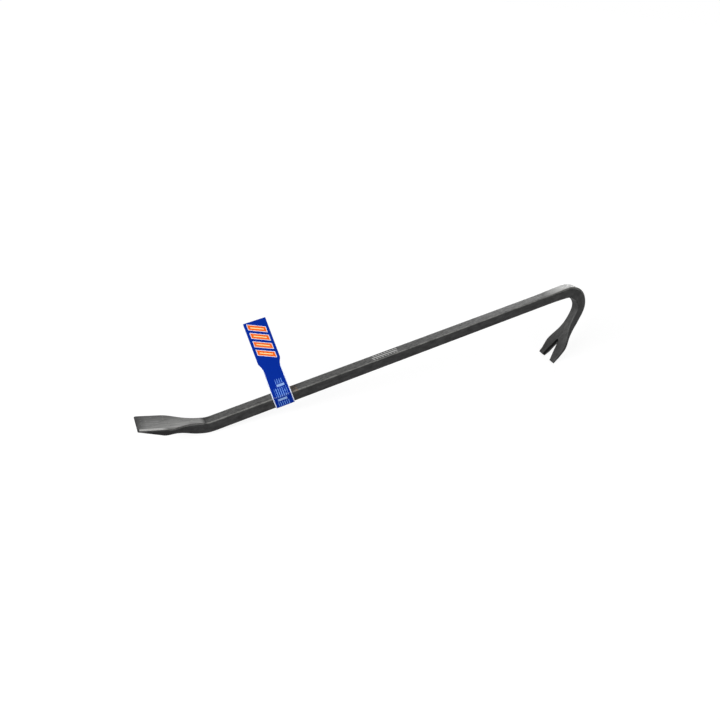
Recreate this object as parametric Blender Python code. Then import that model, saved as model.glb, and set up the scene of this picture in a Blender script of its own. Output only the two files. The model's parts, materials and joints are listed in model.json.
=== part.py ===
"""A forged steel crowbar that carries a folded card sleeve. Metres, +Z up.

The tool is drawn in the frame of its shaft: the corner of the chisel bend is the origin,
+X runs along the shaft to the hook, and +Z comes out of the face on the outside of the hook.
An empty then stands it on both claw tips and on the underside of the chisel bend, with the
bottom centre of its box at the world's origin.
"""

from math import atan2, cos, pi, radians, sin, tan

import bmesh
import bpy
from mathutils import Matrix, Vector

# Bar stock and shaft
STOCK = 0.0160
STOCK_EDGE = 0.0011
SCALE_LOSS = 0.0001
SHAFT_LENGTH = 0.6015
CHISEL_BEND_RADIUS = 0.0400
CHISEL_LIFT = radians(20.9)

# Chisel end, lengths measured from the corner of the bend
CHISEL_LENGTH = 0.0903
BLADE_LENGTH = 0.0332
CHISEL_FLARE_START = 0.0094
CHISEL_FLARE_LATENESS = 1.4
CHISEL_WIDTH = 0.0400
CHISEL_TIP_WIDTH = 0.0393
CHISEL_THICKNESS = 0.0084
CHISEL_THIN_START = 0.0120
CHISEL_THIN_END = 0.0480
CHISEL_EDGE = 0.0018
BLADE_TIP_THICKNESS = 0.0010

# Hook: a bend that is upset thicker at its corner than the stock
HOOK_RADIUS = 0.0340
HOOK_TURN = radians(124.0)
HOOK_LEAD = 0.0350
HOOK_DRAWN_FROM = radians(60.0)
HOOK_INNER_SWELL = 0.0021
HOOK_OUTER_SWELL = 0.0017

# Arm and claw, lengths measured from the end of the hook's bend
ARM_WIDTH = 0.0144
ARM_EDGE = 0.0018
ARM_INNER = 0.0090
ARM_OUTER = 0.0062
ARM_LENGTH = 0.0862
CLAW_FLARE_START = 0.0030
CLAW_FLARE_END = 0.0610
CLAW_FLARE_LATENESS = 1.3
CLAW_WIDTH = 0.0426
CLAW_TIP_WIDTH = 0.0374
CLAW_THICKNESS = 0.0064
CLAW_THIN_START = 0.0080
CLAW_THIN_END = 0.0460
CLAW_TIP_THICKNESS = 0.0048
CLAW_TIP_LENGTH = 0.0120
CLAW_CURL_START = 0.0280
CLAW_CURL_LENGTH = 0.0300
CLAW_CURL = radians(9.5)
CLAW_OUT_OF_SQUARE = radians(7.0)
CLAW_SQUARE_END = 0.0660

# Nail slot of the claw, as it is on the outer face, and how much further its walls lean back
SLOT_DEPTH = 0.0286
SLOT_MOUTH = 0.0152
SLOT_ROOT = 0.0036
SLOT_WALL_LEAN = 0.0034
SLOT_ROOT_LEAN = 0.0080

# Card sleeve
SLEEVE_PLACE = 0.1052
SLEEVE_CLEARANCE = 0.0005
SLEEVE_SKEW = 0.0019
CARD = 0.0005
FOLD_RADIUS = 0.0006
LEAF_LEAN = radians(35.0)
NECK_WIDTH = 0.0276
NECK_TOP_WIDTH = 0.0262
STRAP_WIDTH = 0.0195
NECK_LENGTH = 0.0434
SHOULDER_LENGTH = 0.0076
HEAD_WIDTH = 0.0323
HEAD_LENGTH = 0.0580
LEAVES_MEET = 0.0100
ADHESIVE = 0.0003
ADHESIVE_INSET = 0.0015
ADHESIVE_START = 0.0030

# Space between pieces that touch
GAP = 0.0003

# How finely round stretches are faceted
ROUND_STEPS = 2
FOLD_STEPS = 4
BEND_STEPS = 5
ROOT_STEPS = 5
STATION_STEP = 0.0040

# Largest share of a section's thickness that its rounded edge may take
EDGE_SHARE = 0.45

STANDING_PASSES = 8


def remove_scene_objects():
    for thing in list(bpy.data.objects):
        bpy.data.objects.remove(thing, do_unlink=True)


def make_material(name, colour, roughness, metallic):
    material = bpy.data.materials.new(name)
    material.use_nodes = True
    shader = material.node_tree.nodes["Principled BSDF"]
    shader.inputs["Base Color"].default_value = (*colour, 1.0)
    shader.inputs["Roughness"].default_value = roughness
    shader.inputs["Metallic"].default_value = metallic
    return material


def make_empty(name, parent=None):
    empty = bpy.data.objects.new(name, None)
    bpy.context.collection.objects.link(empty)
    empty.parent = parent
    return empty


def ease(distance, start, end, skew=1.0):
    """0 before start, 1 after end, and a smooth step between them, late when skew is over 1."""
    share = min(max((distance - start) / (end - start), 0.0), 1.0) ** skew
    return share * share * (3.0 - 2.0 * share)


def blend(first, second, share):
    return first + (second - first) * share


def loft(name, rings, parent, material):
    """One closed solid drawn out from ring to ring, all with the same number of corners."""
    shape = bmesh.new()
    first_face = shape.faces.new([shape.verts.new(corner) for corner in rings[0]])
    end_face = first_face
    for ring in rings[1:]:
        drawn = bmesh.ops.extrude_face_region(shape, geom=[end_face])["geom"]
        if end_face is not first_face:
            shape.faces.remove(end_face)
        end_face = next(item for item in drawn if isinstance(item, bmesh.types.BMFace))
        for vertex, corner in zip(end_face.verts, ring):
            vertex.co = corner
    bmesh.ops.recalc_face_normals(shape, faces=shape.faces)
    mesh = bpy.data.meshes.new(name)
    shape.to_mesh(mesh)
    shape.free()
    mesh.materials.append(material)
    thing = bpy.data.objects.new(name, mesh)
    bpy.context.collection.objects.link(thing)
    thing.parent = parent
    return thing


# Spine of the bar, in the XZ plane

def chisel_point(distance):
    """Point and outward normal on the chisel's straight spine, from the corner of the bend."""
    normal = Vector((sin(CHISEL_LIFT), 0.0, cos(CHISEL_LIFT)))
    return distance * Vector((-cos(CHISEL_LIFT), 0.0, sin(CHISEL_LIFT))), normal


def chisel_bend_length():
    """From the corner of the bend to where its arc meets a straight side."""
    return CHISEL_BEND_RADIUS * tan(CHISEL_LIFT / 2.0)


def chisel_bend_point(share):
    """From the chisel, at 0, to the shaft, at 1."""
    angle = CHISEL_LIFT * (1.0 - share)
    normal = Vector((sin(angle), 0.0, cos(angle)))
    centre = Vector((chisel_bend_length(), 0.0, CHISEL_BEND_RADIUS))
    return centre - CHISEL_BEND_RADIUS * normal, normal


def hook_point(angle):
    """On the hook's arc, from the shaft at 0."""
    normal = Vector((sin(angle), 0.0, cos(angle)))
    centre = Vector((SHAFT_LENGTH, 0.0, -HOOK_RADIUS))
    return centre + HOOK_RADIUS * normal, normal


def arm_point(distance):
    """On the arm, from the end of the hook's arc: straight, a slight curl, and straight again."""
    start, arm_normal = hook_point(HOOK_TURN)
    curled = min(max(distance - CLAW_CURL_START, 0.0), CLAW_CURL_LENGTH)
    past_curl = max(distance - CLAW_CURL_START - CLAW_CURL_LENGTH, 0.0)
    angle = HOOK_TURN + CLAW_CURL * curled / CLAW_CURL_LENGTH
    normal = Vector((sin(angle), 0.0, cos(angle)))
    straight = min(distance, CLAW_CURL_START) * along_of(arm_normal)
    curl = CLAW_CURL_LENGTH / CLAW_CURL * (normal - arm_normal)
    return start + straight + curl + past_curl * along_of(normal), normal


def along_of(normal):
    """Direction of travel from the shaft towards the claw, for an outward normal."""
    return Vector((normal.z, 0.0, -normal.x))


# Sections of the bar

def bar_ring(point, normal, width, outer, inner, edge, skew=0.0):
    """A rectangle with rounded corners; outer and inner are its reach from the spine."""
    edge = min(edge, EDGE_SHARE * (outer + inner))
    half = width / 2.0 - edge
    top = outer - edge
    bottom = edge - inner
    corners = ((half, top, 0.0), (-half, top, 90.0), (-half, bottom, 180.0), (half, bottom, 270.0))
    ring = []
    for side, height, start in corners:
        for step in range(ROUND_STEPS + 1):
            angle = radians(start + 90.0 * step / ROUND_STEPS)
            across = side + edge * cos(angle)
            ring.append(point + normal * (height + edge * sin(angle)) + Vector((0.0, across, 0.0))
                        - along_of(normal) * across * tan(skew))
    return ring


def steps_between(start, end, step=STATION_STEP):
    count = max(1, round((end - start) / step))
    return [blend(start, end, index / count) for index in range(count + 1)]


def heated_stock():
    """Thickness of the end that was heated for the chisel, which lost a little to scale."""
    return STOCK - SCALE_LOSS


def clear_start():
    """Where the shaft is full thickness again, just past the sleeve."""
    return SLEEVE_PLACE + HEAD_WIDTH


def chisel_ring(distance):
    point, normal = chisel_point(distance)
    stock = heated_stock()
    heel = CHISEL_LENGTH - BLADE_LENGTH
    flare = ease(distance, CHISEL_FLARE_START, heel, CHISEL_FLARE_LATENESS)
    width = blend(stock, CHISEL_WIDTH, flare)
    thick = blend(stock, CHISEL_THICKNESS, ease(distance, CHISEL_THIN_START, CHISEL_THIN_END))
    edge = blend(STOCK_EDGE, CHISEL_EDGE, ease(distance, 0.0, heel))
    if distance > heel:
        blade = (distance - heel) / BLADE_LENGTH
        width = blend(CHISEL_WIDTH, CHISEL_TIP_WIDTH, blade)
        thick = blend(CHISEL_THICKNESS, BLADE_TIP_THICKNESS, blade)
    return bar_ring(point, normal, width, stock / 2.0, thick - stock / 2.0, edge)


def hook_swell(distance):
    """1 at the middle of the hook's first quarter turn, for a distance from the chisel bend."""
    quarter = HOOK_RADIUS * pi / 2.0
    rise = ease(distance, SHAFT_LENGTH - HOOK_LEAD, SHAFT_LENGTH + quarter / 2.0)
    return rise - ease(distance, SHAFT_LENGTH + quarter / 2.0, SHAFT_LENGTH + quarter)


def shaft_ring(distance):
    stock = STOCK if distance >= clear_start() else heated_stock()
    inner = stock / 2.0 + HOOK_INNER_SWELL * hook_swell(distance)
    outer = stock / 2.0 + HOOK_OUTER_SWELL * hook_swell(distance)
    point = Vector((distance, 0.0, 0.0))
    return bar_ring(point, Vector((0.0, 0.0, 1.0)), stock, outer, inner, STOCK_EDGE)


def hook_ring(angle):
    point, normal = hook_point(angle)
    swell = hook_swell(SHAFT_LENGTH + HOOK_RADIUS * angle)
    drawn = ease(angle, HOOK_DRAWN_FROM, HOOK_TURN)
    width = blend(STOCK, ARM_WIDTH, drawn)
    past_quarter = ease(angle, pi / 2.0, HOOK_TURN)
    inner = blend(STOCK / 2.0, ARM_INNER, past_quarter) + HOOK_INNER_SWELL * swell
    outer = blend(STOCK / 2.0, ARM_OUTER, past_quarter) + HOOK_OUTER_SWELL * swell
    return bar_ring(point, normal, width, outer, inner, blend(STOCK_EDGE, ARM_EDGE, drawn))


def arm_ring(distance):
    point, normal = arm_point(distance)
    flare = ease(distance, CLAW_FLARE_START, CLAW_FLARE_END, CLAW_FLARE_LATENESS)
    width = blend(ARM_WIDTH, CLAW_WIDTH, flare)
    if distance > CLAW_FLARE_END:
        taper = (distance - CLAW_FLARE_END) / (ARM_LENGTH - CLAW_FLARE_END)
        width = blend(CLAW_WIDTH, CLAW_TIP_WIDTH, taper)
    thick = ARM_INNER + ARM_OUTER
    thick = blend(thick, CLAW_THICKNESS, ease(distance, CLAW_THIN_START, CLAW_THIN_END))
    tip = ease(distance, ARM_LENGTH - CLAW_TIP_LENGTH, ARM_LENGTH)
    thick = blend(thick, CLAW_TIP_THICKNESS, tip)
    skew = CLAW_OUT_OF_SQUARE * ease(distance, CLAW_SQUARE_END, ARM_LENGTH)
    return bar_ring(point, normal, width, thick - ARM_INNER, ARM_INNER, ARM_EDGE, skew)


def bar_rings():
    """From the blade's tip to the claw's."""
    bend = chisel_bend_length()
    stock = heated_stock()
    heel = CHISEL_LENGTH - BLADE_LENGTH
    rings = [chisel_ring(distance) for distance in reversed(steps_between(heel, CHISEL_LENGTH))]
    rings += [chisel_ring(distance) for distance in reversed(steps_between(bend, heel)[:-1])]
    for step in range(1, BEND_STEPS):
        point, normal = chisel_bend_point(step / BEND_STEPS)
        rings.append(bar_ring(point, normal, stock, stock / 2.0, stock / 2.0, STOCK_EDGE))
    rings += [shaft_ring(bend), shaft_ring(clear_start())]
    rings += [shaft_ring(distance) for distance in steps_between(SHAFT_LENGTH - HOOK_LEAD, SHAFT_LENGTH)]
    turn_step = STATION_STEP / HOOK_RADIUS
    rings += [hook_ring(angle) for angle in steps_between(0.0, HOOK_TURN, turn_step)[1:]]
    rings += [arm_ring(distance) for distance in steps_between(0.0, ARM_LENGTH)[1:]]
    return rings


# Nail slot

def slot_outline(share):
    """Half widths of the nail slot, from past its mouth to its rounded root.

    The slot opens out from the claw's outer face, at share 0, to its inner face, at share 1.
    """
    depth = SLOT_DEPTH + share * SLOT_ROOT_LEAN
    radius = SLOT_ROOT / 2.0 + share * SLOT_WALL_LEAN
    slope = (SLOT_MOUTH - SLOT_ROOT) / 2.0 / SLOT_DEPTH
    past_tip = -SLOT_DEPTH / 2.0
    mouth = radius + slope * (depth - radius - past_tip)
    sides = [(past_tip, mouth), (depth - radius, radius)]
    for step in range(1, ROOT_STEPS):
        angle = radians(90.0 * step / ROOT_STEPS)
        sides.append((depth - radius + radius * sin(angle), radius * cos(angle)))
    return sides + [(back, -half) for back, half in reversed(sides)]


def make_slot_cutter(parent, material):
    """A tapered wedge that passes through the claw along its face's normal."""
    tip, _ = arm_point(ARM_LENGTH)
    _, normal = arm_point(ARM_LENGTH - SLOT_DEPTH / 2.0)
    back = -along_of(normal)
    outer_face = CLAW_THICKNESS - ARM_INNER
    past_inner = 2.0
    heights = ((past_inner, outer_face - past_inner * CLAW_THICKNESS), (0.0, outer_face), (0.0, STOCK))
    rings = []
    for share, height in heights:
        ring = [tip + back * distance + Vector((0.0, half, 0.0)) + normal * height
                for distance, half in slot_outline(share)]
        rings.append(ring)
    cutter = loft("nail_slot_cutter", rings, parent, material)
    cutter.hide_render = True
    cutter.display_type = "WIRE"
    return cutter


def make_bar(parent):
    steel = make_material("black_forged_steel", (0.045, 0.045, 0.047), 0.55, 0.6)
    bar = loft("forged_bar", bar_rings(), parent, steel)
    cut = bar.modifiers.new("nail_slot", "BOOLEAN")
    cut.operation = "DIFFERENCE"
    cut.object = make_slot_cutter(parent, steel)
    return bar


# Card sleeve, in the YZ plane across the shaft

def leaf_up():
    return Vector((0.0, sin(LEAF_LEAN), cos(LEAF_LEAN)))


def leaf_back():
    """Normal of the leaves, from the front one to the back one."""
    return Vector((0.0, cos(LEAF_LEAN), -sin(LEAF_LEAN)))


def sleeve_reach():
    """From the middle of the shaft to the inside of the sleeve."""
    return STOCK / 2.0 + SLEEVE_CLEARANCE


def leaf_spacing():
    return ADHESIVE + 2.0 * GAP


def front_top():
    return Vector((0.0, -sleeve_reach(), sleeve_reach()))


def fold(corner, before, after, radius=FOLD_RADIUS):
    """Points and inward normals of the card's inner surface round one fold."""
    turn = atan2(before.y * after.z - before.z * after.y, before.dot(after))
    inner_radius = radius if turn > 0.0 else radius + CARD
    side = 1.0 if turn > 0.0 else -1.0
    start = corner - before * inner_radius * tan(abs(turn) / 2.0)
    centre = start + side * inner_radius * inward(before)
    stations = []
    for step in range(FOLD_STEPS + 1):
        angle = turn * step / FOLD_STEPS
        travel = Vector((0.0, before.y * cos(angle) - before.z * sin(angle),
                         before.y * sin(angle) + before.z * cos(angle)))
        stations.append((centre - side * inner_radius * inward(travel), inward(travel)))
    return stations


def inward(travel):
    """To the bar's side, for a direction of travel that goes round it."""
    return Vector((0.0, -travel.z, travel.y))


def card_ring(point, normal, width, shift=0.0):
    half = width / 2.0
    outside = point - normal * CARD
    return [point + Vector((shift - half, 0.0, 0.0)), point + Vector((shift + half, 0.0, 0.0)),
            outside + Vector((shift + half, 0.0, 0.0)), outside + Vector((shift - half, 0.0, 0.0))]


def leaf_stations():
    """Height above the front top edge of the shaft and width, from the neck's foot upwards."""
    shoulder = NECK_LENGTH + SHOULDER_LENGTH
    return [(NECK_LENGTH, NECK_TOP_WIDTH), (shoulder, HEAD_WIDTH), (shoulder + HEAD_LENGTH, HEAD_WIDTH)]


def sleeve_rings():
    """From the top of the front leaf, round the shaft, to the top of the back leaf."""
    reach = sleeve_reach()
    up = leaf_up()
    back_root = front_top() + leaf_back() * leaf_spacing()
    meet = back_root + up * LEAVES_MEET
    corners = [front_top(), Vector((0.0, -reach, -reach)), Vector((0.0, reach, -reach)),
               Vector((0.0, reach, reach)), meet]
    shifts = [0.0, SLEEVE_SKEW, SLEEVE_SKEW, 0.0, 0.0]
    widths = [NECK_WIDTH, NECK_WIDTH, STRAP_WIDTH, STRAP_WIDTH, STRAP_WIDTH]
    ends = [front_top() + up] + corners + [meet + up]
    rings = [card_ring(front_top() + up * height, leaf_back(), width)
             for height, width in reversed(leaf_stations())]
    for index, corner in enumerate(corners):
        before = (corner - ends[index]).normalized()
        after = (ends[index + 2] - corner).normalized()
        rings += [card_ring(point, normal, widths[index], shifts[index])
                  for point, normal in fold(corner, before, after)]
    rings += [card_ring(back_root + up * height, -leaf_back(), width)
              for height, width in leaf_stations()]
    return rings


def make_sleeve_card(parent):
    card = make_material("printed_card", (0.0, 0.03, 0.32), 0.4, 0.0)
    return loft("sleeve_card", sleeve_rings(), parent, card)


def make_sleeve_adhesive(parent):
    """The thin layer that holds the two leaves together."""
    glue = make_material("clear_adhesive", (0.75, 0.72, 0.6), 0.5, 0.0)
    root = front_top() + leaf_back() * GAP
    layer = leaf_back() * ADHESIVE
    stations = [(LEAVES_MEET + ADHESIVE_START, STRAP_WIDTH)] + leaf_stations()
    rings = []
    for index, (height, width) in enumerate(stations):
        last = index == len(stations) - 1
        point = root + leaf_up() * (height - (ADHESIVE_INSET if last else 0.0))
        half = Vector((width / 2.0 - ADHESIVE_INSET, 0.0, 0.0))
        rings.append([point - half, point + half, point + layer + half, point + layer - half])
    return loft("sleeve_adhesive", rings, parent, glue)


# Standing pose

def standing_axes():
    """The world's axes in the bar's frame, when its bend and both claw tips touch one floor.

    The tips are out of square, so the bar stands rolled a little about its length.
    """
    corners = [corner for ring in bar_rings() for corner in ring]
    bend = [corner for corner in corners if corner.x < SHAFT_LENGTH / 2.0]
    claw = [corner for corner in corners if corner.x >= SHAFT_LENGTH / 2.0]
    tips = ([corner for corner in claw if corner.y < 0.0], [corner for corner in claw if corner.y > 0.0])
    up = Vector((0.0, 0.0, 1.0))
    for _ in range(STANDING_PASSES):
        heel, near_tip, far_tip = (min(group, key=up.dot) for group in (bend, *tips))
        up = (near_tip - heel).cross(far_tip - heel).normalized()
    along = (Vector((1.0, 0.0, 0.0)) - up.x * up).normalized()
    return along, up.cross(along), up


def stand_up(frame, things):
    frame.rotation_euler = Matrix(standing_axes()).to_euler()
    bpy.context.view_layer.update()
    corners = [thing.matrix_world @ vertex.co for thing in things for vertex in thing.data.vertices]
    low = [min(corner[axis] for corner in corners) for axis in range(3)]
    high = [max(corner[axis] for corner in corners) for axis in range(3)]
    frame.location = (-(low[0] + high[0]) / 2.0, -(low[1] + high[1]) / 2.0, -low[2])
    bpy.context.view_layer.update()


def main():
    remove_scene_objects()
    shaft_frame = make_empty("shaft_frame")
    sleeve_frame = make_empty("sleeve_frame", shaft_frame)
    sleeve_frame.location = (SLEEVE_PLACE, 0.0, 0.0)
    things = [make_bar(shaft_frame), make_sleeve_card(sleeve_frame), make_sleeve_adhesive(sleeve_frame)]
    stand_up(shaft_frame, things)


main()
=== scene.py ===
"""The looks of a forged crowbar and of the folded card sleeve on its shaft.

Both are drawn in the frame of the shaft, in metres: the corner of the chisel bend is the
origin, +X runs along the shaft to the hook, and +Z comes out of the shaft's top face.
"""

import json
from collections import namedtuple
from functools import partial
from math import atan2, cos, pi, radians, sin, sqrt, tan

import bpy
import numpy as np
from mathutils import Euler, Matrix, Vector


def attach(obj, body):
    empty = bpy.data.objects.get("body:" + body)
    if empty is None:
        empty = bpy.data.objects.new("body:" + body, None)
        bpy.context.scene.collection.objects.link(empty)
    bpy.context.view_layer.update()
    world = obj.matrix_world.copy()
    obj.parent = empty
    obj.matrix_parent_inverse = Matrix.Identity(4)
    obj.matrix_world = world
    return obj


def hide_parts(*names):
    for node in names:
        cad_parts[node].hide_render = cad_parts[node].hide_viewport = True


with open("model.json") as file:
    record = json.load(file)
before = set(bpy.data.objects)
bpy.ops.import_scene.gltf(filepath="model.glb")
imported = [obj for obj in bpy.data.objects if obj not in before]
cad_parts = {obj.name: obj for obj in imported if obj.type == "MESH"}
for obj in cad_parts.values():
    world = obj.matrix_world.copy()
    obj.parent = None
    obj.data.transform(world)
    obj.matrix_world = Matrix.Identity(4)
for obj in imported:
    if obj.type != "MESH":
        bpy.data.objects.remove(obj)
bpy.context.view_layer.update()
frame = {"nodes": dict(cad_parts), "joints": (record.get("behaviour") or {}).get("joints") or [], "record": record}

# Bar stock and shaft
STOCK = 0.0160
STOCK_EDGE = 0.0011
SCALE_LOSS = 0.0001
SHAFT_LENGTH = 0.6015
CHISEL_BEND_RADIUS = 0.0400
CHISEL_LIFT = radians(20.9)

# Chisel end, lengths measured from the corner of the bend, but for the stations behind its tip
CHISEL_LENGTH = 0.0903
BLADE_LENGTH = 0.0332
CHISEL_FLARE_START = 0.0094
CHISEL_FLARE_LATENESS = 1.4
CHISEL_WIDTH = 0.0400
CHISEL_TIP_WIDTH = 0.0393
CHISEL_THICKNESS = 0.0084
CHISEL_THIN_START = 0.0120
CHISEL_THIN_END = 0.0480
CHISEL_EDGE = 0.0018
BLADE_TIP_THICKNESS = 0.0010
FAR_TIP_CORNER = 0.0032
NEAR_TIP_CORNER = 0.0008
TIP_STATIONS = (0.0, 0.0002, 0.0008, 0.0018, 0.0032)

# Near side of the blade: its draft, the strip ground along the top's edge, and the block that cuts both
SIDE_SHAVED = 0.0002
SIDE_DRAFT = 0.0016
GROUND_WIDTH = 0.0050
GROUND_DEPTH = 0.0007
SHAVING_BLOCK = 0.0600
SHAVING_OFFSET = 0.0150

# What tells a cut's own faces: they face its way, and their centres are this near its plane
CUT_FACING = 0.9999
CUT_NEARNESS = 0.00001

# Hook: a bend upset thicker than the stock, which starts to swell before it, on its outer face first
HOOK_RADIUS = 0.0340
HOOK_TURN = radians(124.0)
HOOK_LEAD = 0.0350
HOOK_DRAWN_FROM = radians(60.0)
HOOK_INNER_SWELL = 0.0021
HOOK_OUTER_SWELL = 0.00145
HOOK_OUTER_LEAD = 0.0600

# Arm and claw, lengths measured from the end of the hook's bend
ARM_WIDTH = 0.0144
ARM_EDGE = 0.0018
ARM_INNER = 0.0090
ARM_OUTER = 0.0062
ARM_LENGTH = 0.0862
CLAW_FLARE_START = 0.0030
CLAW_FLARE_END = 0.0610
CLAW_FLARE_LATENESS = 1.3
CLAW_WIDTH = 0.0426
CLAW_TIP_WIDTH = 0.0374
CLAW_THICKNESS = 0.0064
CLAW_THIN_START = 0.0080
CLAW_THIN_END = 0.0460
CLAW_TIP_THICKNESS = 0.0048
CLAW_TIP_LENGTH = 0.0120
CLAW_CURL_START = 0.0280
CLAW_CURL_LENGTH = 0.0300
CLAW_CURL = radians(9.5)
CLAW_OUT_OF_SQUARE = radians(7.0)
CLAW_SQUARE_END = 0.0660

# Nail slot on the claw's outer face, how far its walls lean back through the claw's thickness, and
# the shares of that thickness, from the outer face, at which its cutter starts and ends
SLOT_DEPTH = 0.0286
SLOT_MOUTH = 0.0152
SLOT_ROOT = 0.0036
SLOT_WALL_LEAN = 0.0034
SLOT_ROOT_LEAN = 0.0080
SLOT_ROOT_WIDENING = 0.0008
SLOT_SHARES = (-0.3, 2.0)
SLOT_CORNERS = 24

# Card sleeve
SLEEVE_PLACE = 0.1052
SLEEVE_CLEARANCE = 0.0005
SLEEVE_SKEW = 0.0019
CARD = 0.0005
FOLD_RADIUS = 0.0006
LEAF_LEAN = radians(35.0)
NECK_WIDTH = 0.0276
NECK_TOP_WIDTH = 0.0262
STRAP_WIDTH = 0.0195
NECK_LENGTH = 0.0434
SHOULDER_LENGTH = 0.0076
HEAD_WIDTH = 0.0323
HEAD_LENGTH = 0.0580
LEAVES_MEET = 0.0100
LEAVES_APART = 0.0009

# How finely things are drawn
STATION_STEP = 0.0040
SHAFT_CUTS = 139
BAR_ROWS = (6, 3)
EDGE_SEGMENTS = 3
EDGE_ROW_SHARE = 0.8
CARD_ROWS = (8, 1)
FOLD_STEPS = 6
LEAF_STEPS = 12
SPINE_STEP = 0.0005

# Points of a mesh that are matched to the bar's spine at once
POINTS_AT_ONCE = 4000

# Angles between faces: past the first an edge stays square, and under the others it is shaded smooth
SQUARE_ANGLE = radians(55.0)
BAR_SMOOTH_ANGLE = radians(35.0)
CARD_SMOOTH_ANGLE = radians(30.0)

# Hammered and scaled surface, never proud of the forged size
DENT_DEPTH = 0.00016
DENT_SIZE = 0.0110
DENT_LEVELS = 3

# Finishes of the bar, by material slot
GROUND_FINISH = 1
# The nail slot's walls take a near-black finish: painted shade for the recess
SLOT_SHADE_FINISH = 2

# Patterns on the steel. The scale's own grain is 0.1 to 0.3 mm, too fine to show, so it is drawn 1 mm.
PATCH_SIZE = 0.0060
STREAK_SIZE = 0.0011
GRAIN_SIZE = 0.0010
GRAIN_DEPTH = 0.00005
PIT_SPACING = 0.0045
PIT_DEPTH_IN_GRAINS = 1.6
SCUFF_SIZE = 0.0026
SCRATCH_SIZE = 0.0006
SCRATCH_DEPTH = 0.0001

# Stretch of the patterns: drawn out with the stock, streaked by rubbing, and crosswise from the wheel
DRAWN_OUT = (0.45, 1.0, 1.0)
STREAKED = (0.07, 1.0, 1.0)
CROSSWISE = (1.0, 0.12, 1.0)

# Where the coats of the bar's finish fade in, from the first place to the second, along the spine
SHAFT_TOP_START = (-0.0040, -0.0010)
SHAFT_TOP_END = (0.6600, 0.6220)
# Painted highlight on the hook's crest: a pale coat that stands for the reflection there
CREST_HIGHLIGHT_START = (0.5600, 0.5980)
CREST_HIGHLIGHT_END = (0.6420, 0.6000)
# Painted light on the arm's inner face, its lit side drawn lighter
ARM_LIGHT_START = (0.6500, 0.6700)
ARM_LIGHT_END = (0.7350, 0.7000)
CHISEL_TOP_START = (-0.0034, -0.0100)
CHISEL_TOP_END = (-0.0895, -0.0780)
NECK_RUB = (-0.0850, -0.0300)
# Painted shade on the blade's near side
BLADE_SHADE_START = (-0.0440, -0.0540)
# Painted shade on the top of the chisel bend
BEND_SHADE_START = (-0.0070, -0.0035)
BEND_SHADE_END = (0.0085, 0.0035)
# Wear along the edges, with painted sheen on the near ones
EDGE_WEAR_END = (0.6400, 0.6000)
STRIP_START = (-0.0535, -0.0605)
STRIP_END = (-0.0882, -0.0872)

# The same across the spine, where the far side is positive
# A band along the top's near edge: spots of wear with painted sheen, on the near side only
NEAR_WEAR_AND_SHEEN_BAND = (-0.0060, -0.0074)
# Painted highlight on the crest stops short of its near edge
CREST_HIGHLIGHT_NEAR_EDGE = (-0.0078, -0.0072)
CHISEL_TOP_SIDES = (0.0180, -0.0100)
BLADE_SIDE_SHADE = (-0.0150, -0.0176)
BEND_SHADE_SIDE = (-0.0015, 0.0030)
# Edge wear everywhere, with painted sheen that makes the near edges brighter
EDGE_SHEEN_AND_WEAR_SIDES = (0.0040, -0.0040)
STRIP_BORDER = (-0.0168, -0.0162)

# The same out of the spine, and by the gap to a long edge
TOP_FACE = 0.0062
INNER_FACE = (-0.0072, -0.0084)
# Painted shade in the nail slot lifts towards the claw's outer face
SLOT_SHADE_LIFT = (-0.0058, -0.0040)
CHISEL_FAR_EDGE = (0.0006, 0.0024)
EDGE_WEAR = (0.0015, 0.0008)

# How far the grain makes the border of a coat ragged
EDGE_RAGGED = 0.0012
BORDER_RAGGED = 0.0010

# Rusty stain on the top face: its middle along the spine and its half length
STAIN = (0.1240, 0.0050)

# Row of generic strokes on the shaft's top face
MARK_ALONG = (0.2480, 0.2895)
MARK_ACROSS = (-0.0048, 0.0048)
MARK_PITCH = 0.0046
MARK_STROKE = 0.0015
MARK_SOFTNESS = 0.0003
MARK_SLANT = 0.45

# Print of the card, by height above the shaft's front top edge and by place across. The white margin
# runs up the neck and closes where the shoulder starts.
MARGIN = 0.0012
MARGIN_CLOSED = -0.0010
MARGIN_END = (NECK_LENGTH - 0.0040, NECK_LENGTH + 0.0030)
PRINTED_FACE = 0.97 * CARD
STRIPES_ALONG = (0.0560, 0.1055)
STRIPE_SLANT = 0.45
STRIPE_PITCH = 0.0122
STRIPE_WIDTH = 0.0070
STRIPE_LENGTH = 0.0225
STRIPE_RULE = 0.0014
STRIPE_RULE_INSET = 0.0030
KEYLINE = 0.0008
ROW_PITCH = 0.0029
ROW_THICKNESS = 0.0010
ROW_BREAKS = 0.0070
ROW_OFFSET = 37.0
CREASES = (0.0, -0.0170)
CREASE_RUB = (0.0006, 0.0001)
CUT_EDGE_RUB = 0.0005

# Areas of the card's print, each by its lowest and highest height and its two places across
ROW_GROUPS = (
    (0.0170, 0.0235, -0.0030, 0.0080),
    (-0.0022, 0.0112, -0.0080, 0.0092),
    (-0.0158, -0.0088, -0.0085, 0.0082))
PALE_BLOCKS = (
    (0.0127, 0.0160, -0.0025, 0.0085),
    (-0.0072, -0.0036, -0.0075, 0.0055))

# The board's fibres are 0.02 mm thick and its coating hides them: drawn 0.4 mm, where it is rubbed
FIBRE_SIZE = 0.0004
FIBRE_DEPTH = 0.00002

# Streaks that the glue brush leaves, 3 mm wide
BRUSH_STREAK = 0.0030
BRUSH_DEPTH = 0.0001

# Place on the shaft of the four mounts, which fixes its frame in the world
MOUNTS_AT = 0.30

# Camera, in the shaft's frame
CAMERA_PLACE = Vector((-0.0390545, -0.6812131, 0.4634253))
CAMERA_TURN = (radians(58.1045), radians(7.3414), radians(-26.0270))
CAMERA_LENS_MM = 30.0
CAMERA_SENSOR_MM = 36.0

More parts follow.
